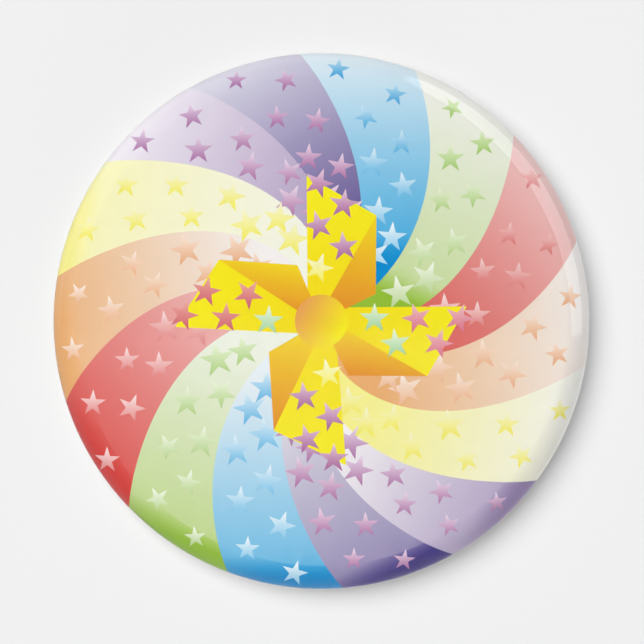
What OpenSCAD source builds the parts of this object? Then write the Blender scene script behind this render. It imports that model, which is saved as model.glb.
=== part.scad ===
// Round pin-back button badge.
// A tinplate shell carries a printed paper disc under a clear film. Both are wrapped round the
// shell's edge and tucked in by its curl, which also holds the back plate. A spring-wire pin is
// strapped to the plate, and the end of its arm rests in a hook stamped out of the plate.
//
// The badge is upright and faces -Y, with +Z up. The origin is in the middle of the rear rim's
// plane, where the badge lies against the cloth that it is pinned to.

/* [Badge] */
// Diameter over the film
badge_d = 57.15; // [57:0.05:58]
// Height of the dome's top over the plane of the rear rim
badge_h = 5.8; // [5.8:0.1:6.4]
// Radius of curvature of the domed face
dome_r = 220; // [215:5:250]
// Width of the rim outside the dome, from the bevel's crease to the side
rim_w = 2.775; // [2.75:0.005:2.8]
// Radius of curvature of the crease
crease_r = 2.2; // [2.15:0.05:2.3]
// Slope of the bevel where it leaves the crease
crease_slope = 24; // [23:0.5:24.5]
// Radius of curvature of the bevel
bevel_r = 4.2; // [4.15:0.05:4.3]
// Slope of the bevel where it turns into the edge
bevel_slope = 55; // [54.5:0.5:56]
// Outer radius of the curl at the rear rim
curl_r = 0.9; // [0.85:0.05:0.95]

/* [Layers] */
// Thickness of the clear film
film_t = 0.08; // [0.05:0.01:0.1]
// Thickness of the printed paper
paper_t = 0.12; // [0.08:0.01:0.14]
// Thickness of the shell's tinplate
shell_t = 0.28; // [0.2:0.02:0.3]

/* [Back plate] */
// Thickness of the plate's sheet
plate_t = 0.3; // [0.25:0.05:0.35]
// Height of the plate's rear face over the rear rim
recess_depth = 2.6; // [2.4:0.1:2.7]
// Inner radius of the recess
recess_r = 23.7; // [22:0.1:24]
// Inner radius of the two bends in the plate's wall
bend_r = 0.5; // [0.3:0.1:0.5]
// Radius at which the stiffening bead runs
bead_at = 20; // [19.5:0.1:20.5]
// Outer radius of the bead's section
bead_r = 0.9; // [0.8:0.05:1]
// Length of each strap along the wire
strap_w = 3.2; // [2:0.1:4]

/* [Pin] */
// Diameter of the spring wire
wire_d = 0.9; // [0.8:0.05:1]
// Distance of the hinge point from the middle of the badge
hinge_x = 16; // [14:0.5:17]
// Length of the arm from the hinge point to its tip
arm_l = 34; // [30:0.5:35]
// Length of the sharpened end
point_l = 6; // [4:0.5:8]
// Height of the arm over the middle of the badge
arm_up = 2.2; // [1.8:0.1:3]
// Distance of the wire's strapped run below the middle of the badge
base_down = 2.4; // [2:0.1:3]
// Depth of the arm's axis in front of the rear rim
arm_depth = 0.15; // [0:0.05:0.3]
// Direction in which the arm leaves the hook, from straight up towards straight back
exit_angle = 45; // [35:1:50]

/* [Hook] */
// Length of the hook along the arm
hook_w = 4; // [3:0.5:5]
// Distance of the hook's middle from the middle of the badge
hook_x = 13.5; // [12:0.5:14]
// Clearance between the wire and the hook
hook_gap = 0.15; // [0.1:0.05:0.2]
// Length of the hook's straight lip
lip_l = 0.65; // [0.4:0.05:0.8]

/* [Hidden] */

$fn = 192;
// Space left between two sheets that lie on each other
sheet_gap = 0.01;
// Overlap that makes a cut run clean through
through = 1;
// Facets along each arc of the wrapped sheets
dome_steps = 12;
crease_steps = 4;
bevel_steps = 6;
curl_steps = 14;

badge_r = badge_d / 2;
paper_depth = film_t + sheet_gap;
shell_depth = paper_depth + paper_t + sheet_gap;

// Centres of the outline's arcs. Each arc starts with the slope that the last one ends with,
// and the edge's radius is the one that reaches the badge's full radius.
dome_edge = badge_r - rim_w;
dome_slope = asin(dome_edge / dome_r);
dome_c = [0, badge_h - dome_r];
crease_c = dome_c + (dome_r - crease_r) * outward(dome_slope);
bevel_c = crease_c + (crease_r - bevel_r) * outward(crease_slope);
edge_r = (badge_r - bevel_c.x - bevel_r * sin(bevel_slope)) / (1 - sin(bevel_slope));
edge_c = bevel_c + (bevel_r - edge_r) * outward(bevel_slope);
curl_c = [badge_r - curl_r, curl_r];

flange_z = curl_r + 0.02;
flange_r = badge_r - shell_depth - shell_t - 0.12;
plate_front = recess_depth + plate_t;
bead_z = recess_depth + 0.5;

wire_r = wire_d / 2;
// Clearance between the strapped wire and the metal round it
strap_gap = 0.02;
base_z = recess_depth - strap_gap - wire_r;
strap_in = wire_r + strap_gap;
strap_out = strap_in + plate_t;
// Middles of the two straps along the wire
strap_at = [-9.5, 3];
base_end = 7;

// The U-bend turns in the plane through both runs of the wire
bend_rise = arm_up + base_down;
bend_drop = base_z - arm_depth;
bend_tilt = atan2(bend_drop, bend_rise);
u_bend_r = sqrt(bend_rise * bend_rise + bend_drop * bend_drop) / 2;
// Play round the arm's ball where it turns in the end of the base wire
ball_gap = 0.07;
point_r = 0.08;

hook_in = wire_r + hook_gap;
hook_out = hook_in + plate_t;
// Angle round the arm at which the hook's stem runs into its curve
stem_angle = 150;
stem_l = (recess_depth - arm_depth - (hook_in + hook_out) / 2 * sin(stem_angle)) / -cos(stem_angle);
hook_end = 270 - exit_angle;
root_y = arm_up + (hook_in + hook_out) / 2 * cos(stem_angle) + stem_l * sin(stem_angle);
// The window that the hook's strip leaves in the plate
window_h = 4.2;
window_gap = 0.2;

// Direction square to a surface of the given slope, in the plane of the badge's section
function outward(slope) = [sin(slope), cos(slope)];

// Turns a shape that lies on its back, dome towards +Z, to face -Y
module upright() {
    rotate([90, 0, 0])
        children();
}

// A plane wedge from one angle to another, with its corner at the origin
module wedge(from, to, reach) {
    steps = 8;
    corners = [for (i = [0 : steps]) let (a = from + (to - from) * i / steps) reach * [cos(a), sin(a)]];
    polygon(concat([[0, 0]], corners));
}

// Part of a ring between two angles
module arc_band(centre, outer, inner, from, to) {
    translate(centre)
        intersection() {
            difference() {
                circle(r = outer);
                circle(r = inner);
            }
            wedge(from, to, 1.5 * outer);
        }
}

// Points of an arc between two slopes, without its first point
function arc_points(centre, r, from, to, steps) =
    [for (i = [1 : steps]) centre + r * outward(from + (to - from) * i / steps)];

// The line at a depth below the badge's outside, from the dome's top to the end of the curl
function wrapped_line(depth) = concat(
    [[0, badge_h - depth]],
    arc_points(dome_c, dome_r - depth, 0, dome_slope, dome_steps),
    arc_points(crease_c, crease_r - depth, dome_slope, crease_slope, crease_steps),
    arc_points(bevel_c, bevel_r - depth, crease_slope, bevel_slope, bevel_steps),
    arc_points(edge_c, edge_r - depth, bevel_slope, 90, bevel_steps),
    [[badge_r - depth, curl_r]],
    arc_points(curl_c, curl_r - depth, 90, 270, curl_steps)
);

function reversed(list) = [for (i = [len(list) - 1 : -1 : 0]) list[i]];

// Section of a sheet that follows the badge's outside, from depth a down to depth b below it
module wrapped_section(a, b) {
    polygon(concat(wrapped_line(a), reversed(wrapped_line(b))));
}

module wrapped_sheet(a, b) {
    upright()
        rotate_extrude()
            wrapped_section(a, b);
}

module front_shell() {
    color("silver")
        wrapped_sheet(shell_depth, shell_depth + shell_t);
}

module printed_insert() {
    color("gold")
        wrapped_sheet(paper_depth, paper_depth + paper_t);
}

module clear_film() {
    color("lightcyan", 0.35)
        wrapped_sheet(0, film_t);
}

// Section of the recessed plate: disc with its bead, wall with two bends, and flange
module plate_section() {
    wall_out = recess_r + plate_t;
    first_bend = [recess_r - bend_r, recess_depth - bend_r];
    second_bend = [wall_out + bend_r, flange_z + plate_t + bend_r];
    difference() {
        union() {
            translate([0, recess_depth])
                square([first_bend.x, plate_t]);
            intersection() {
                translate([bead_at, bead_z])
                    circle(r = bead_r);
                translate([bead_at - bead_r, bead_z - bead_r])
                    square([2 * bead_r, plate_front - bead_z + bead_r]);
            }
        }
        translate([bead_at, bead_z])
            circle(r = bead_r - plate_t);
    }
    arc_band(first_bend, bend_r + plate_t, bend_r, 0, 90);
    translate([recess_r, second_bend.y])
        square([plate_t, first_bend.y - second_bend.y]);
    arc_band(second_bend, bend_r + plate_t, bend_r, 180, 270);
    translate([second_bend.x, flange_z])
        square([flange_r - second_bend.x, plate_t]);
}

// A strap arched over the wire, with its two legs running into the plate
module strap(x) {
    translate([x - strap_w / 2, -base_down, base_z])
        rotate([90, 0, 90])
            linear_extrude(strap_w) {
                arc_band([0, 0], strap_out, strap_in, 180, 360);
                for (side = [-strap_out, strap_in])
                    translate([side, 0])
                        square([plate_t, plate_front - base_z]);
            }
}

module strap_opening(x) {
    translate([x - strap_w / 2, -base_down - strap_in, recess_depth - through])
        cube([strap_w, 2 * strap_in, plate_t + 2 * through]);
}

// Section of the hook across the arm, whose axis is at the origin
module hook_section() {
    middle = (hook_in + hook_out) / 2;
    arc_band([0, 0], hook_out, hook_in, stem_angle, hook_end);
    rotate(stem_angle)
        translate([hook_in, -stem_l - plate_t])
            square([plate_t, stem_l + plate_t]);
    rotate(hook_end)
        translate([hook_in, 0])
            square([plate_t, lip_l]);
}

module hook() {
    intersection() {
        translate([hook_x - hook_w / 2, arm_up, arm_depth])
            rotate([90, 0, 90])
                linear_extrude(hook_w)
                    hook_section();
        translate([0, arm_up - hook_w, -hook_w])
            cube([badge_r, 2 * hook_w, hook_w + plate_front]);
    }
}

module hook_window() {
    window_w = hook_w + 2 * window_gap;
    translate([hook_x - window_w / 2, root_y - window_h, recess_depth - through])
        cube([window_w, window_h, plate_t + 2 * through]);
}

module back_plate() {
    color("lightsteelblue")
        upright() {
            difference() {
                rotate_extrude()
                    plate_section();
                for (x = strap_at)
                    strap_opening(x);
                hook_window();
            }
            for (x = strap_at)
                strap(x);
            hook();
        }
}

// The wire's strapped run and its U-bend, hollowed at the end for the arm's ball
module pin_base() {
    color("gray")
        upright()
            difference() {
                translate([-hinge_x, (arm_up - base_down) / 2, (base_z + arm_depth) / 2])
                    rotate([-bend_tilt, 0, 0]) {
                        rotate_extrude(angle = 180, start = 90)
                            translate([u_bend_r, 0])
                                circle(r = wire_r);
                        translate([0, -u_bend_r, 0])
                            rotate([0, 90, 0])
                                cylinder(r = wire_r, h = hinge_x + base_end);
                    }
                translate([-hinge_x, arm_up, arm_depth])
                    sphere(r = wire_r + ball_gap);
            }
}

// The arm, with the ball that it turns on and its sharpened end
module pin_arm() {
    color("dimgray")
        upright()
            translate([-hinge_x, arm_up, arm_depth]) {
                sphere(r = wire_r);
                rotate([0, 90, 0]) {
                    cylinder(r = wire_r, h = arm_l - point_l);
                    translate([0, 0, arm_l - point_l])
                        cylinder(r1 = wire_r, r2 = point_r, h = point_l - point_r);
                    translate([0, 0, arm_l - point_r])
                        sphere(r = point_r);
                }
            }
}

front_shell();
printed_insert();
clear_film();
back_plate();
pin_base();
pin_arm();
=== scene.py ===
"""Looks of the pin-back button badge: paper print under clear film on a tinplate shell, with a back and pin.

Everything is in metres in the part's frame: the badge faces -Y, +Z is up, and its rear rim lies at y = 0.
"""

import math
import random

import bpy
import numpy as np
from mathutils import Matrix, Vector, geometry


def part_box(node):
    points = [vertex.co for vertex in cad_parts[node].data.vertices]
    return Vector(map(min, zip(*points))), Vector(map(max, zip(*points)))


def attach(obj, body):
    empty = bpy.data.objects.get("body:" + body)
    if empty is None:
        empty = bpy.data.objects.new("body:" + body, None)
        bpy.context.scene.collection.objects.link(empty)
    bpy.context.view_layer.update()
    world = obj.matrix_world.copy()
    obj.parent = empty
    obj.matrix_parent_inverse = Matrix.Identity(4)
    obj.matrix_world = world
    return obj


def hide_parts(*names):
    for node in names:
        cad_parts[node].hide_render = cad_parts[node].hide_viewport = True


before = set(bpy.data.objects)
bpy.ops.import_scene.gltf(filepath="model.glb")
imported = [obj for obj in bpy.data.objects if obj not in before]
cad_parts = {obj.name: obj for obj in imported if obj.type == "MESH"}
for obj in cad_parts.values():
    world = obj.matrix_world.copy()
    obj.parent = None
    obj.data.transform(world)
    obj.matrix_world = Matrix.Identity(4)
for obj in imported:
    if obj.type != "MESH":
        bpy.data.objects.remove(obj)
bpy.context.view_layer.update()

SEED = 11
MM = 0.001

# The badge's outline, the same arcs as the part's. Slopes are in degrees from the front, 90 at the side.
FILM_LOW, FILM_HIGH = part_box("clear_film")
RADIUS = FILM_HIGH.x
REAR_Y = FILM_HIGH.y
HEIGHT = FILM_HIGH.y - FILM_LOW.y
DOME_R = 220 * MM
DOME_EDGE = 25.8 * MM
CREASE_R = 2.2 * MM
CREASE_SLOPE = 24
BEVEL_R = 4.2 * MM
BEVEL_SLOPE = 55
CURL_R = 0.9 * MM
CURL_END = 270

# Depths under the film's outer face.
FILM_BACK = 0.07 * MM
PAPER_FACE = 0.09 * MM
PAPER_BACK = 0.19 * MM

SEGMENTS = 192
DOME_RINGS = 12
CREASE_RINGS = 4
BEVEL_RINGS = 6
EDGE_RINGS = 6
CURL_RINGS = 14


# ---------- the outline ----------


def outward(slope):
    """The outline's unit normal at a slope: across, then towards the front."""
    return np.array([math.sin(math.radians(slope)), math.cos(math.radians(slope))])


def outline():
    """Rows of slope, distance from the axis, height over the rear rim, and art radius, from the middle out.

    The art radius is the share of the badge's radius up to its side. Behind it, the paper's length is added.
    """
    dome_slope = math.degrees(math.asin(DOME_EDGE / DOME_R))
    dome_c = np.array([0, HEIGHT - DOME_R])
    crease_c = dome_c + (DOME_R - CREASE_R) * outward(dome_slope)
    bevel_c = crease_c + (CREASE_R - BEVEL_R) * outward(CREASE_SLOPE)
    reach = math.sin(math.radians(BEVEL_SLOPE))
    edge_r = (RADIUS - bevel_c[0] - BEVEL_R * reach) / (1 - reach)
    edge_c = bevel_c + (BEVEL_R - edge_r) * outward(BEVEL_SLOPE)
    curl_c = np.array([RADIUS - CURL_R, CURL_R])
    arcs = [
        (dome_c, DOME_R, 0, dome_slope, DOME_RINGS),
        (crease_c, CREASE_R, dome_slope, CREASE_SLOPE, CREASE_RINGS),
        (bevel_c, BEVEL_R, CREASE_SLOPE, BEVEL_SLOPE, BEVEL_RINGS),
        (edge_c, edge_r, BEVEL_SLOPE, 90, EDGE_RINGS),
        (curl_c, CURL_R, 90, CURL_END, CURL_RINGS),
    ]
    rows = [(0.0, *(dome_c + DOME_R * outward(0)))]
    for centre, r, start, end, steps in arcs:
        # The straight side lies between the last two arcs, so the curl has a first row of its own.
        first = 0 if centre is curl_c else 1
        for i in range(first, steps + 1):
            slope = start + (end - start) * i / steps
            rows.append((slope, *(centre + r * outward(slope))))
    rows = np.array(rows)
    step = np.hypot(np.diff(rows[:, 1]), np.diff(rows[:, 2]))
    side = int(np.argmax(rows[:, 1] >= RADIUS - 1e-9))
    behind = np.concatenate([np.zeros(side + 1), np.cumsum(step[side:])])
    art = np.where(np.arange(len(rows)) <= side, rows[:, 1], RADIUS + behind) / RADIUS
    return np.column_stack([rows, art])


OUTLINE = outline()
ART_END = OUTLINE[-1, 3]


def on_badge(art, angle, depth):
    """Points and outward normals at an art radius and angle, that deep under the film's face."""
    slope = np.radians(np.interp(art, OUTLINE[:, 3], OUTLINE[:, 0]))
    across = np.interp(art, OUTLINE[:, 3], OUTLINE[:, 1]) - depth * np.sin(slope)
    height = np.interp(art, OUTLINE[:, 3], OUTLINE[:, 2]) - depth * np.cos(slope)
    points = np.column_stack([across * np.cos(angle), REAR_Y - height, across * np.sin(angle)])
    normals = np.column_stack([np.sin(slope) * np.cos(angle), -np.cos(slope), np.sin(slope) * np.sin(angle)])
    return points, normals


# ---------- the artwork: striped rays that swirl, scattered stars and a pinwheel ----------

# Each ray's first edge turns from the rim inwards, in degrees: its angle at the rim, its twist and its curl.
RAY_EDGES = [
    (17.6, 55, 8),
    (44.2, 44, 20),
    (69.7, 48, 0),
    (94.7, 37, 11),
    (119.6, 47, 10),
    (143.6, 46, 34),
    (170.6, 46, 34),
]
HALF_TURN = 180
RAY_POINTS = 30
RAY_START = 0.07
RAY_MIDDLE = 0.9
# A ray's edge ends at this share of the last ring's radius, just inside its chords.
RAY_STOP = 0.9999 * math.cos(math.pi / SEGMENTS)

# For each ray from those edges on: which way it pales, its deepest colour, its deep and pale colours, and the
# deep and pale colours of its twin in the lower half.
RAY_COLOURS = [
    ("red", 40, (212, 60, 55), (218, 98, 92), (235, 184, 181), (220, 100, 95), (236, 182, 179)),
    ("green", 67, (148, 190, 58), (203, 221, 164), (235, 238, 225), (196, 217, 150), (231, 237, 217)),
    ("blue", 91, (10, 141, 206), (86, 177, 223), (203, 227, 240), (117, 190, 228), (215, 232, 241)),
    ("purple", 119, (64, 51, 128), (112, 100, 154), (203, 199, 218), (155, 146, 184), (215, 211, 223)),
    ("lavender", 152, (148, 130, 174), (182, 165, 197), (231, 224, 235), (186, 173, 202), (248, 245, 245)),
    ("yellow", -10, (246, 239, 140), (246, 243, 191), (244, 244, 226), (245, 240, 147), (245, 244, 228)),
    ("peach", 11, (233, 174, 112), (235, 187, 141), (243, 233, 225), (235, 187, 141), (243, 233, 225)),
]
# Both rays of this name are drawn as lower ones.
ALWAYS_LOWER = "peach"
# How far past its deep end, as a share of the fade, a ray reaches its deepest colour.
DEEPEST_AT = 0.15
FADE_FROM = 0.46
FADE_TO = 0.885
FADE_SAMPLES = 12
PALEST = 1.15
# Painted shade: outside the crease the rays run deeper round the badge's foot, where the bevel turns away
# from the key light: by this share of a fade, most at this angle, and as far round as this reach takes it.
CREASE_ART = DOME_EDGE / RADIUS
FOOT_PAINTED_SHADE = 0.043
FOOT_SHADE_ANGLE = 250
FOOT_SHADE_REACH = 1.6

# Stars show up against their ray: pale ones on its deep end, deep ones on its pale end, each fading upwards.
STAR_COLOURS = {
    "red": (((226, 138, 136), (252, 238, 236)), ((215, 110, 108), (241, 200, 196))),
    "green": (((186, 212, 146), (249, 252, 242)), ((156, 199, 100), (227, 238, 202))),
    "blue": (((142, 204, 235), (252, 253, 254)), ((46, 152, 213), (202, 229, 242))),
    "purple": (((178, 118, 166), (242, 224, 236)), ((158, 100, 156), (228, 208, 226))),
    "lavender": (((176, 116, 164), (238, 224, 238)), ((166, 108, 160), (232, 216, 232))),
    "yellow": (((243, 234, 84), (248, 246, 222)), ((243, 236, 92), (247, 245, 218))),
    "peach": (((236, 182, 142), (252, 242, 234)), ((222, 148, 94), (246, 218, 194))),
}
STAR_WAY = 90
STAR_R = 0.079
STAR_SHRINK = 0.032
STAR_WAIST = 0.38
STAR_ROWS = 4
STAR_FIRST_ROW = 0.41
STAR_ROW_STEP = 0.16
STAR_STAGGER = 0.045
STAR_LANES = (0.3, 0.72)
STAR_TILT = 15
STAR_JITTER = 0.012
LANE_JITTER = 0.05
STAR_SIZES = (0.85, 1.06)
# Stars on the lower rays stay lighter on the pale end.
LOWER_STAR_DEPTH = 0.5
INNER_STAR = (0.31, 0.5)

# The pinwheel's upright blade in art radii: a yellow sail and its folded-over orange flap.
SAIL = [(-0.054, 0.535), (-0.05, 0.04), (0.005, 0.04), (0.2025, 0.389)]
FLAP = [(0.2025, 0.389), (0.005, 0.04), (0.06, 0.03), (0.2, 0.1)]
HUB_R = 0.097
HUB_POINTS = 64
SAIL_COLOUR = (90, (244, 220, 30), (247, 237, 34))
FLAP_COLOUR = (80, (228, 145, 46), (243, 216, 38))
HUB_COLOUR = (-30, (232, 162, 92), (247, 239, 26))
SAIL_STAR_FIRST = 0.195
SAIL_STAR_STEP = 0.078
SAIL_STAR_LANES = (-0.01, 0.082)
SAIL_STAR_COUNT = 5
SAIL_STAR_R = 0.058
SAIL_STAR_COLOURS = {
    "cream": ((246, 238, 96), (250, 248, 226)),
    "mint": ((158, 208, 160), (242, 248, 220)),
    "mauve": ((164, 96, 148), (234, 206, 222)),
    "rose": ((206, 96, 112), (238, 176, 160)),
    "pink": ((216, 110, 138), (242, 200, 196)),
}
# For each blade, clockwise from the upright one: its turn, its number of inner stars, and the star colours.
BLADES = [
    (0, 1, "cream", "mauve"),
    (-90, 2, "mint", "pink"),
    (-176, 1, "cream", "mauve"),
    (-273.5, 1, "mint", "rose"),
]


def linear(colour):
    """Display colours from 0 to 255 as linear light."""
    c = np.clip(np.asarray(colour, float) / 255, 0, 1)
    return np.where(c <= 0.04045, c / 12.92, ((c + 0.055) / 1.055) ** 2.4)


def ray_edge(edge, art, half):
    """The angle of a ray's edge at an art radius, in radians."""
    rim, twist, curl = edge
    inwards = 1 - art
    return np.radians(rim + half * HALF_TURN - twist * inwards - curl * np.maximum(inwards, 0) ** 2)


def direction(degrees):
    return np.array([math.cos(math.radians(degrees)), math.sin(math.radians(degrees))])


def painted_foot_shade(art, angle):
    """Painted shade: how much deeper into its fade a ray is at a place outside the crease, round the badge's
    foot.
    """
    reach = np.clip(FOOT_SHADE_REACH * np.cos(angle - math.radians(FOOT_SHADE_ANGLE)), 0, 1)
    return np.where(art > CREASE_ART, FOOT_PAINTED_SHADE * reach, 0)


def shade(points, step, way, deepest, deep, pale, start, end):
    """Colours at flat art points for a straight fade from deep to pale along one way, and past both ends. The
    step moves points deeper into the fade, which is painted shade round the badge's foot.
    """
    share = ((points @ direction(way) - start) / (end - start) - step)[:, None]
    deepest, deep, pale = (np.asarray(c, float) for c in (deepest, deep, pale))
    past = deep + np.clip(-share / DEEPEST_AT, 0, 1) * (deepest - deep)
    within = deep + np.clip(share, 0, PALEST) * (pale - deep)
    return linear(np.where(share < 0, past, within))


def star_outline(centre, radius, tilt):
    """A five-pointed star's ten corners, one point up when tilt is 0."""
    corners = []
    for i in range(10):
        r = radius if i % 2 == 0 else radius * STAR_WAIST
        corners.append(np.asarray(centre) + r * direction(90 + tilt + 36 * i))
    return np.array(corners)


def turned(points, degrees):
    """Art points turned anticlockwise about the badge's middle."""
    return np.array([x * direction(degrees) + y * direction(degrees + 90) for x, y in points])


def faded_shape(points, way, deep, pale):
    span = points @ direction(way)
    return {"outline": points, "fade": (way, deep, deep, pale, span.min(), span.max())}


def ray_list():
    """The fourteen rays, anticlockwise, each with its edges, its half of the badge and its fade."""
    rays = []
    count = len(RAY_EDGES)
    for half in range(2):
        for i, (name, way, deepest, deep, pale, deep_low, pale_low) in enumerate(RAY_COLOURS):
            far = half if i + 1 < count else half + 1
            edges = [(RAY_EDGES[i], half), (RAY_EDGES[(i + 1) % count], far)]
            art = np.linspace(FADE_FROM, FADE_TO, FADE_SAMPLES)
            angles = np.concatenate([ray_edge(e, art, h) for e, h in edges])
            reach = np.concatenate([art, art])
            span = np.column_stack([reach * np.cos(angles), reach * np.sin(angles)]) @ direction(way)
            lower = half == 1 or name == ALWAYS_LOWER
            colours = (deep_low, pale_low) if lower else (deep, pale)
            fade = (way, deepest, *colours, span.min(), span.max())
            star_depth = LOWER_STAR_DEPTH if lower else 1
            rays.append({"name": name, "edges": edges, "fade": fade, "star_depth": star_depth})
    return rays


def star_list(rays):
    """Stars in two lanes along each ray, smaller towards the rim, with one more close to the pinwheel."""
    pick = random.Random(SEED)
    stars = []
    for ray in rays:
        (low, low_half), (high, high_half) = ray["edges"]
        spots = [(STAR_FIRST_ROW + STAR_ROW_STEP * k + STAR_STAGGER * lane, STAR_LANES[lane])
                 for k in range(STAR_ROWS) for lane in range(2)]
        spots.append(INNER_STAR)
        for art, across in spots:
            art += pick.uniform(-1, 1) * STAR_JITTER
            start = ray_edge(low, art, low_half)
            width = ray_edge(high, art, high_half) - start
            angle = start + width * (across + pick.uniform(-1, 1) * LANE_JITTER)
            centre = art * np.array([math.cos(angle), math.sin(angle)])
            way, _, _, _, fade_start, fade_end = ray["fade"]
            share = float(np.clip((centre @ direction(way) - fade_start) / (fade_end - fade_start), 0, 1))
            share *= ray["star_depth"]
            on_deep, on_pale = np.array(STAR_COLOURS[ray["name"]])
            deep, pale = on_deep + share * (on_pale - on_deep)
            radius = (STAR_R - STAR_SHRINK * art) * pick.uniform(*STAR_SIZES)
            corners = star_outline(centre, radius, pick.gauss(0, STAR_TILT))
            stars.append(faded_shape(corners, STAR_WAY, deep, pale))
    return stars


def pinwheel_list():
    """Sails, flaps, the stars on the sails and the hub, in the order they cover each other."""
    pick = random.Random(SEED)
    sails, flaps, stars = [], [], []
    for turn, inner_count, inner, outer in BLADES:
        way, deep, pale = SAIL_COLOUR
        sails.append(faded_shape(turned(SAIL, turn), way + turn, deep, pale))
        flaps.append(faded_shape(turned(FLAP, turn), *FLAP_COLOUR))
        for k in range(SAIL_STAR_COUNT):
            spot = (SAIL_STAR_LANES[k % 2], SAIL_STAR_FIRST + SAIL_STAR_STEP * k)
            centre = turned([spot], turn)[0]
            corners = star_outline(centre, SAIL_STAR_R, pick.gauss(0, STAR_TILT))
            deep, pale = SAIL_STAR_COLOURS[inner if k < inner_count else outer]
            stars.append(faded_shape(corners, STAR_WAY, deep, pale))
    ring = np.array([HUB_R * direction(360 * i / HUB_POINTS) for i in range(HUB_POINTS)])
    return sails + flaps + stars + [faded_shape(ring, *HUB_COLOUR)]


def inside(points, corners):
    """Which flat points lie inside a closed outline."""
    result = np.zeros(len(points), bool)
    for a, b in zip(corners, np.roll(corners, -1, axis=0)):
        crosses = (a[1] > points[:, 1]) != (b[1] > points[:, 1])
        with np.errstate(divide="ignore", invalid="ignore"):
            at = (b[0] - a[0]) * (points[:, 1] - a[1]) / (b[1] - a[1]) + a[0]
        result ^= crosses & (points[:, 0] < at)
    return result


def flat_art(rays, shapes):
    """The art cut into triangles in its flat plane, with the outline's rings as cuts too."""
    points, edges = [(0.0, 0.0)], []

    def add(line, closed):
        start = len(points)
        points.extend((float(x), float(y)) for x, y in line)
        last = len(line) if closed else len(line) - 1
        edges.extend((start + i, start + (i + 1) % len(line)) for i in range(last))

    turn = np.linspace(0, 2 * math.pi, SEGMENTS, endpoint=False)
    for art in OUTLINE[1:, 3]:
        add(np.column_stack([art * np.cos(turn), art * np.sin(turn)]), True)
    face = np.linspace(RAY_START, RAY_MIDDLE, RAY_POINTS, endpoint=False)
    reach = np.concatenate([face, np.linspace(RAY_MIDDLE, ART_END * RAY_STOP, RAY_POINTS // 2)])
    for ray in rays:
        edge, half = ray["edges"][0]
        angle = ray_edge(edge, reach, half)
        add(np.column_stack([reach * np.cos(angle), reach * np.sin(angle)]), False)
    for shape in shapes:
        add(shape["outline"], True)
    made = geometry.delaunay_2d_cdt([Vector(p) for p in points], edges, [], 0, 1e-7)
    flat = np.array([tuple(v) for v in made[0]])
    faces = np.array([f for f in made[2] if len(f) == 3])
    a, b, c = (flat[faces[:, i]] for i in range(3))
    turned_over = np.cross(b - a, c - a) < 0
    faces[turned_over] = faces[turned_over][:, ::-1]
    return flat, faces


def ink(flat, faces, rays, shapes):
    """A linear colour for each triangle's corner."""
    middle = flat[faces].mean(axis=1)
    corners = flat[faces].reshape(-1, 2)
    art = np.hypot(middle[:, 0], middle[:, 1])
    angle = np.arctan2(middle[:, 1], middle[:, 0])
    # Painted shade: each triangle's step is how much deeper its fade runs outside the crease round the
    # badge's foot.
    step = painted_foot_shade(art, angle)
    owner = np.full(len(faces), -1)
    for number, ray in enumerate(rays):
        (low, low_half), (high, high_half) = ray["edges"]
        start = ray_edge(low, art, low_half)
        width = ray_edge(high, art, high_half) - start
        owner[np.mod(angle - start, 2 * math.pi) < width] = number
    fades = [ray["fade"] for ray in rays]
    for shape in shapes:
        mine = inside(middle, shape["outline"])
        owner[mine] = len(fades)
        # Stars and the pinwheel carry none of the painted shade.
        step[mine] = 0
        fades.append(shape["fade"])
    owner, step = np.repeat(owner, 3), np.repeat(step, 3)
    colours = np.zeros((len(corners), 3))
    for number, fade in enumerate(fades):
        mine = owner == number
        if mine.any():
            colours[mine] = shade(corners[mine], step[mine], *fade)
    return colours


# ---------- meshes ----------


def new_piece(name, points, faces, normals=None):
    mesh = bpy.data.meshes.new(name)
    mesh.from_pydata([tuple(p) for p in points], [], [tuple(int(i) for i in f) for f in faces])
    mesh.update()
    if normals is not None:
        mesh.normals_split_custom_set([tuple(n) for n in normals])
    obj = bpy.data.objects.new(name, mesh)
    bpy.context.scene.collection.objects.link(obj)
    return obj


def printed_piece():
    """The printed paper, wrapped over the shell: inked face, plain back and cut edge."""
    rays = ray_list()
    shapes = star_list(rays) + pinwheel_list()
    flat, faces = flat_art(rays, shapes)
    colours = ink(flat, faces, rays, shapes)
    art = np.hypot(flat[:, 0], flat[:, 1])
    angle = np.arctan2(flat[:, 1], flat[:, 0])
    art = np.minimum(art, ART_END)
    face_points, face_normals = on_badge(art, angle, PAPER_FACE)
    back_points, _ = on_badge(art, angle, PAPER_BACK)
    count = len(flat)
    back = faces[:, ::-1] + count
    uses = {}
    for f in faces:
        for a, b in ((f[0], f[1]), (f[1], f[2]), (f[2], f[0])):
            uses[(int(a), int(b))] = uses.get((int(a), int(b)), 0) + 1
    cut = [(b, a, a + count, b + count) for (a, b) in uses if (b, a) not in uses]
    all_faces = [tuple(f) for f in faces] + [tuple(f) for f in back] + cut
    normals = list(face_normals[faces].reshape(-1, 3)) + list(-face_normals[back - count].reshape(-1, 3))
    normals += [(0.0, 0.0, 0.0)] * (4 * len(cut))
    obj = new_piece("printed_paper", np.vstack([face_points, back_points]), all_faces, normals)
    inked = obj.data.color_attributes.new("ink", "FLOAT_COLOR", "CORNER")
    values = np.ones((len(obj.data.loops), 4), np.float32)
    values[: len(colours), :3] = colours
    inked.data.foreach_set("color", values.ravel())
    material_index = np.ones(len(all_faces), np.int32)
    material_index[: len(faces)] = 0
    obj.data.polygons.foreach_set("material_index", material_index)
    return obj


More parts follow.
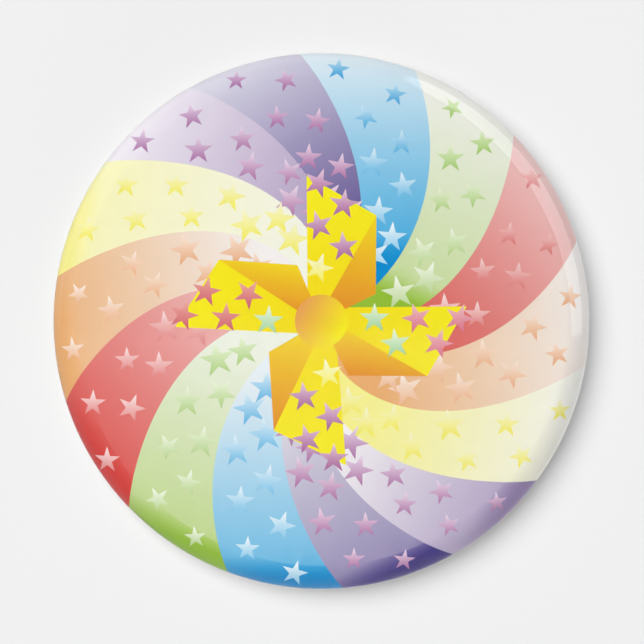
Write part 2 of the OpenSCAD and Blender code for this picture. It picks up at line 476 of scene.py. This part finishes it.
def film_piece():
    """The clear film over the print, a closed skin of its own thickness."""
    turn = np.linspace(0, 2 * math.pi, SEGMENTS, endpoint=False)
    rings = [(art, 0.0) for art in OUTLINE[1:, 3]]
    rings += [(art, FILM_BACK) for art in OUTLINE[:0:-1, 3]]
    front, front_normal = on_badge(np.array([0.0]), np.array([0.0]), 0.0)
    back, _ = on_badge(np.array([0.0]), np.array([0.0]), FILM_BACK)
    points, normals = [front[0]], [front_normal[0]]
    for art, depth in rings:
        p, n = on_badge(np.full(SEGMENTS, art), turn, depth)
        points.extend(p)
        normals.extend(n if depth == 0 else -n)
    points.append(back[0])
    normals.append(-front_normal[0])
    last = len(points) - 1
    faces = []
    for i in range(SEGMENTS):
        j = (i + 1) % SEGMENTS
        faces.append((0, 1 + i, 1 + j))
        for ring in range(len(rings) - 1):
            a, b = 1 + ring * SEGMENTS, 1 + (ring + 1) * SEGMENTS
            faces.append((a + i, b + i, b + j, a + j))
        a = 1 + (len(rings) - 1) * SEGMENTS
        faces.append((a + i, last, a + j))
    corner_normals = [normals[v] for f in faces for v in f]
    return new_piece("clear_wrap", points, faces, corner_normals)


# ---------- materials ----------

WHITE = (1, 1, 1, 1)
# Most of a noise value lies between these.
NOISE_RANGE = (0.3, 0.7)
# Rolled sheet and drawn wire both have their lines along X.
ROLLED = (0.05, 1.0, 1.0)
RUBBED = (1.0, 1.0, 3.5)
LINE_DEPTH = 0.001 * MM
TOOTH_DEPTH = 0.002 * MM
CRIMP_DEPTH = 0.12 * MM
CRIMP_SCALE = 26.0
WAVE_DEPTH = 0.01 * MM
FIBRE_DEPTH = 0.01 * MM
# How dark and how dull the metal's marks are.
MARKED = 0.93
DULLED = 0.05
FILM_IOR = 1.36
FILM_CLEAR = (0.995, 0.995, 0.995, 1)


def wire(tree, socket, value):
    if isinstance(value, bpy.types.NodeSocket):
        tree.links.new(value, socket)
    else:
        socket.default_value = value


def node(tree, kind, inputs=None, **settings):
    """A new node with its settings, and its inputs set or linked by name or place."""
    made = tree.nodes.new(kind)
    for name, value in settings.items():
        setattr(made, name, value)
    for key, value in (inputs or {}).items():
        wire(tree, made.inputs[key], value)
    return made


def noise(tree, where, scale, detail=3.0, rough=0.5, stretch=None):
    """Noise that varies over 1 / scale millimetres."""
    if stretch:
        where = node(tree, "ShaderNodeMapping", {"Vector": where, "Scale": stretch}).outputs[0]
    inputs = {"Vector": where, "Scale": scale / MM, "Detail": detail, "Roughness": rough}
    return node(tree, "ShaderNodeTexNoise", inputs).outputs["Fac"]


def maths(tree, operation, a, b):
    return node(tree, "ShaderNodeMath", {0: a, 1: b}, operation=operation).outputs[0]


def ranged(tree, value, limits, interpolation="LINEAR"):
    """A value carried from one range to another, by the limits' From Min, From Max, To Min and To Max."""
    inputs = {"Value": value, **dict(zip(("From Min", "From Max", "To Min", "To Max"), limits))}
    return node(tree, "ShaderNodeMapRange", inputs, interpolation_type=interpolation).outputs["Result"]


def spread(tree, value, low, high):
    """A noise value carried to the range from low to high."""
    return ranged(tree, value, (*NOISE_RANGE, low, high))


def bump(tree, height, distance, strength=1.0, normal=None):
    inputs = {"Height": height, "Distance": distance, "Strength": strength}
    if normal is not None:
        inputs["Normal"] = normal
    return node(tree, "ShaderNodeBump", inputs).outputs[0]


def new_material(name):
    material = bpy.data.materials.new(name)
    material.use_nodes = True
    tree = material.node_tree
    where = node(tree, "ShaderNodeTexCoord").outputs["Object"]
    return material, tree, tree.nodes["Principled BSDF"], where


def times(tree, colour, factor):
    """A colour scaled by a grey factor."""
    inputs = {"Factor": 1.0, 6: colour, 7: factor}
    return node(tree, "ShaderNodeMix", inputs, data_type="RGBA", blend_type="MULTIPLY").outputs[2]


def between(tree, share, first, second):
    """A colour between two, by a share from 0 to 1."""
    made = node(tree, "ShaderNodeMix", {"Factor": share, 6: (*first, 1), 7: (*second, 1)}, data_type="RGBA")
    return made.outputs[2]


def crimps(tree, where):
    """Heights of the small pleats, square to the rim, where the sheets are drawn round the curl behind it."""
    split = node(tree, "ShaderNodeSeparateXYZ", {0: where}).outputs
    flat = node(tree, "ShaderNodeCombineXYZ", {"X": split["X"], "Z": split["Z"]}).outputs[0]
    around = node(tree, "ShaderNodeVectorMath", {0: flat}, operation="NORMALIZE").outputs[0]
    inputs = {"Vector": around, "Scale": CRIMP_SCALE, "Detail": 1.0}
    pleats = node(tree, "ShaderNodeTexNoise", inputs).outputs["Fac"]
    behind = ranged(tree, split["Y"], (REAR_Y - CURL_R, REAR_Y, 0.0, 1.0))
    return maths(tree, "MULTIPLY", pleats, behind)


def printed_material():
    """Ink on coated paper: the art's colours with a little uneven ink cover and the paper's fine tooth."""
    material, tree, bsdf, where = new_material("printed_ink")
    colour = node(tree, "ShaderNodeVertexColor", layer_name="ink").outputs["Color"]
    blotch = spread(tree, noise(tree, where, scale=0.5, detail=4.0), low=0.985, high=1.01)
    grain = spread(tree, noise(tree, where, scale=6.0, detail=2.0), low=0.99, high=1.008)
    wire(tree, bsdf.inputs["Base Color"], times(tree, colour, maths(tree, "MULTIPLY", blotch, grain)))
    wire(tree, bsdf.inputs["Roughness"], spread(tree, noise(tree, where, scale=2.0), low=0.5, high=0.62))
    bsdf.inputs["Specular IOR Level"].default_value = 0.1
    tooth = bump(tree, noise(tree, where, scale=5.0), TOOTH_DEPTH, strength=0.3)
    wire(tree, bsdf.inputs["Normal"], bump(tree, crimps(tree, where), CRIMP_DEPTH, normal=tooth))
    return material


def paper_material():
    """The paper's plain back and cut edge."""
    material, tree, bsdf, where = new_material("paper_back")
    fibre = noise(tree, where, scale=3.0, detail=5.0, rough=0.6)
    wire(tree, bsdf.inputs["Base Color"], between(tree, fibre, (0.78, 0.76, 0.71), (0.88, 0.87, 0.84)))
    wire(tree, bsdf.inputs["Roughness"], spread(tree, fibre, low=0.75, high=0.9))
    wire(tree, bsdf.inputs["Normal"], bump(tree, fibre, FIBRE_DEPTH, strength=0.5))
    return material


def film_material():
    """Clear gloss film: see-through but for its reflection, with faint rub marks."""
    material, tree, bsdf, where = new_material("clear_gloss_film")
    tree.nodes.remove(bsdf)
    rubs = noise(tree, where, scale=0.35, detail=5.0, rough=0.65, stretch=RUBBED)
    ripple = bump(tree, noise(tree, where, scale=0.12, detail=2.0), WAVE_DEPTH, strength=0.25)
    surface = bump(tree, crimps(tree, where), CRIMP_DEPTH, normal=ripple)
    rough = spread(tree, rubs, low=0.05, high=0.13)
    gloss = node(tree, "ShaderNodeBsdfGlossy", {"Color": WHITE, "Roughness": rough, "Normal": surface})
    clear = node(tree, "ShaderNodeBsdfTransparent", {"Color": FILM_CLEAR})
    fresnel = node(tree, "ShaderNodeFresnel", {"IOR": FILM_IOR, "Normal": surface}).outputs[0]
    # Only the film's air side reflects. From inside, a slanting view would be mirrored whole.
    back = node(tree, "ShaderNodeNewGeometry").outputs["Backfacing"]
    share = maths(tree, "MULTIPLY", fresnel, maths(tree, "SUBTRACT", 1.0, back))
    mixed = node(tree, "ShaderNodeMixShader", {0: share, 1: clear.outputs[0], 2: gloss.outputs[0]})
    wire(tree, tree.nodes["Material Output"].inputs["Surface"], mixed.outputs[0])
    return material


def metal_material(name, tone, rough):
    """Bare or plated steel: fine lines along one way, thumb marks and dull patches, and a slight waviness."""
    material, tree, bsdf, where = new_material(name)
    marks = noise(tree, where, scale=0.09)
    drawn = noise(tree, where, scale=14.0, detail=2.0, stretch=ROLLED)
    waves = noise(tree, where, scale=0.25, detail=2.0)
    wire(tree, bsdf.inputs["Base Color"], between(tree, marks, [MARKED * c for c in tone], tone))
    bsdf.inputs["Metallic"].default_value = 1.0
    dull = spread(tree, marks, low=rough, high=rough + DULLED)
    streak = spread(tree, drawn, low=-0.02, high=0.03)
    wire(tree, bsdf.inputs["Roughness"], maths(tree, "ADD", dull, streak))
    lined = bump(tree, drawn, LINE_DEPTH, strength=0.5)
    wire(tree, bsdf.inputs["Normal"], bump(tree, waves, WAVE_DEPTH, strength=0.5, normal=lined))
    return material


def wear(obj, *materials):
    obj.data.materials.clear()
    for material in materials:
        obj.data.materials.append(material)


# ---------- the pieces ----------

# Bounce light passes the print and the shell, so that their colours don't glow on the wall.
printed = printed_piece()
wear(printed, printed_material(), paper_material())
printed.visible_diffuse = False
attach(printed, "badge")
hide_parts("printed_insert")

film = film_piece()
wear(film, film_material())
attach(film, "badge")
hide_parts("clear_film")

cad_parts["front_shell"].visible_diffuse = False
wear(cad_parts["front_shell"], metal_material("tinplate", tone=(0.80, 0.80, 0.79), rough=0.24))
wear(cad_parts["back_plate"], metal_material("plated_steel", tone=(0.86, 0.85, 0.83), rough=0.2))
for name in ("pin_base", "pin_arm"):
    wear(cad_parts[name], metal_material("spring_wire_" + name, tone=(0.78, 0.79, 0.8), rough=0.12))


# ---------- studio ----------

WALL_Y = 1.2 * MM
FLOOR_Z = -60 * MM
SWEEP_R = 20 * MM
STAGE_HALF = 1.5
STAGE_STEPS = 16
FLOOR_DROP = 1 * MM
WALL_TONE = (0.871, 0.871, 0.871, 1)

# Lights: angle round the badge from +X, tilt from the front, distance, diameter, watts, and what they reach.
LIGHTS = {
    "key": (143, 26.5, 3.2, 2.7, 95.5, "surfaces"),
    "front_fill": (143, 3, 3.2, 0.5, 22, "surfaces"),
    "foot_fill": (292, 97, 1.2, 1.6, 10.5, "surfaces"),
    "rear_key": (20, 130, 1.2, 0.9, 7, "both"),
    "rim_glow": (30, 80, 1.0, 1.7, 32, "reflections"),
}
# The room's light is dim before the badge and bright behind it, and brighter above than below, as limits for
# ranged(). Looked at straight, the room is pale all round.
WORLD_BACK = (-0.3, 0.3, 0.05, 1.0)
WORLD_UP = (-0.3, 0.8, 0.35, 0.95)
WORLD_SEEN = 0.87

# The camera frames the badge's widest ring, this far before the rear rim.
WIDEST = 1.4 * MM
CAMERA_LENS = 150
SENSOR = 36
FRAME_WIDTH = 68.54 * MM
FRAME_OFFSET = Vector((0.075 * MM, 0, -0.095 * MM))


def backdrop():
    """A pale wall close behind the badge that sweeps into a floor, and a wider floor below them.

    They are solid only from their lit side. They cast no shadow and send on no bounce light, which keeps
    a grey halo off the wall round the badge.
    """
    far, low = 2 * STAGE_HALF, FLOOR_Z - FLOOR_DROP
    corners = [(-far, -far, low), (far, -far, low), (far, far, low), (-far, far, low)]
    floor = new_piece("floor", corners, [(0, 1, 2, 3)])
    line = [(-STAGE_HALF, FLOOR_Z)]
    for i in range(STAGE_STEPS + 1):
        a = math.radians(90 * i / STAGE_STEPS)
        line.append((WALL_Y - SWEEP_R + SWEEP_R * math.sin(a), FLOOR_Z + SWEEP_R - SWEEP_R * math.cos(a)))
    line.append((WALL_Y, STAGE_HALF))
    points = [(x, y, z) for y, z in line for x in (-STAGE_HALF, STAGE_HALF)]
    faces = [(2 * i, 2 * i + 1, 2 * i + 3, 2 * i + 2) for i in range(len(line) - 1)]
    obj = new_piece("backdrop", points, faces)
    obj.data.polygons.foreach_set("use_smooth", [True] * len(faces))
    material, tree, bsdf, _ = new_material("pale_backdrop")
    bsdf.inputs["Base Color"].default_value = WALL_TONE
    bsdf.inputs["Roughness"].default_value = 1.0
    bsdf.inputs["Specular IOR Level"].default_value = 0.0
    back = node(tree, "ShaderNodeNewGeometry").outputs["Backfacing"]
    clear = node(tree, "ShaderNodeBsdfTransparent")
    mixed = node(tree, "ShaderNodeMixShader", {0: back, 1: bsdf.outputs[0], 2: clear.outputs[0]})
    wire(tree, tree.nodes["Material Output"].inputs["Surface"], mixed.outputs[0])
    for piece in (obj, floor):
        wear(piece, material)
        piece.visible_shadow = False
        piece.visible_diffuse = False


def area_light(name, angle, tilt, distance, size, watts, reaches):
    across = direction(angle) * math.sin(math.radians(tilt))
    way = Vector((across[0], -math.cos(math.radians(tilt)), across[1]))
    light = bpy.data.lights.new(name, "AREA")
    light.shape = "DISK"
    light.size = size
    light.energy = watts
    obj = bpy.data.objects.new(name, light)
    obj.location = way * distance
    obj.rotation_euler = way.to_track_quat("Z", "Y").to_euler()
    obj.visible_camera = False
    obj.visible_diffuse = reaches != "reflections"
    obj.visible_glossy = reaches != "surfaces"
    bpy.context.scene.collection.objects.link(obj)


def studio():
    backdrop()
    for name, placing in LIGHTS.items():
        area_light(name, *placing)
    world = bpy.data.worlds.new("studio")
    bpy.context.scene.world = world
    world.use_nodes = True
    tree = world.node_tree
    way = node(tree, "ShaderNodeTexCoord").outputs["Generated"]
    split = node(tree, "ShaderNodeSeparateXYZ", {0: way}).outputs
    back = ranged(tree, split["Y"], WORLD_BACK, "SMOOTHSTEP")
    level = maths(tree, "MULTIPLY", back, ranged(tree, split["Z"], WORLD_UP, "SMOOTHSTEP"))
    looked_at = node(tree, "ShaderNodeLightPath").outputs["Is Camera Ray"]
    seen = maths(tree, "MULTIPLY", looked_at, WORLD_SEEN)
    background = tree.nodes["Background"]
    background.inputs["Color"].default_value = WHITE
    wire(tree, background.inputs["Strength"], maths(tree, "MAXIMUM", level, seen))


def camera():
    lens = bpy.data.cameras.new("camera")
    lens.lens = CAMERA_LENS
    lens.sensor_width = SENSOR
    lens.clip_start = 1 * MM
    obj = bpy.data.objects.new("camera", lens)
    distance = CAMERA_LENS / SENSOR * FRAME_WIDTH
    obj.location = Vector((0, REAR_Y - WIDEST - distance, 0)) + FRAME_OFFSET
    obj.rotation_euler = (math.radians(90), 0, 0)
    bpy.context.scene.collection.objects.link(obj)
    bpy.context.scene.camera = obj


studio()
camera()
bpy.context.scene.view_settings.view_transform = "Standard"
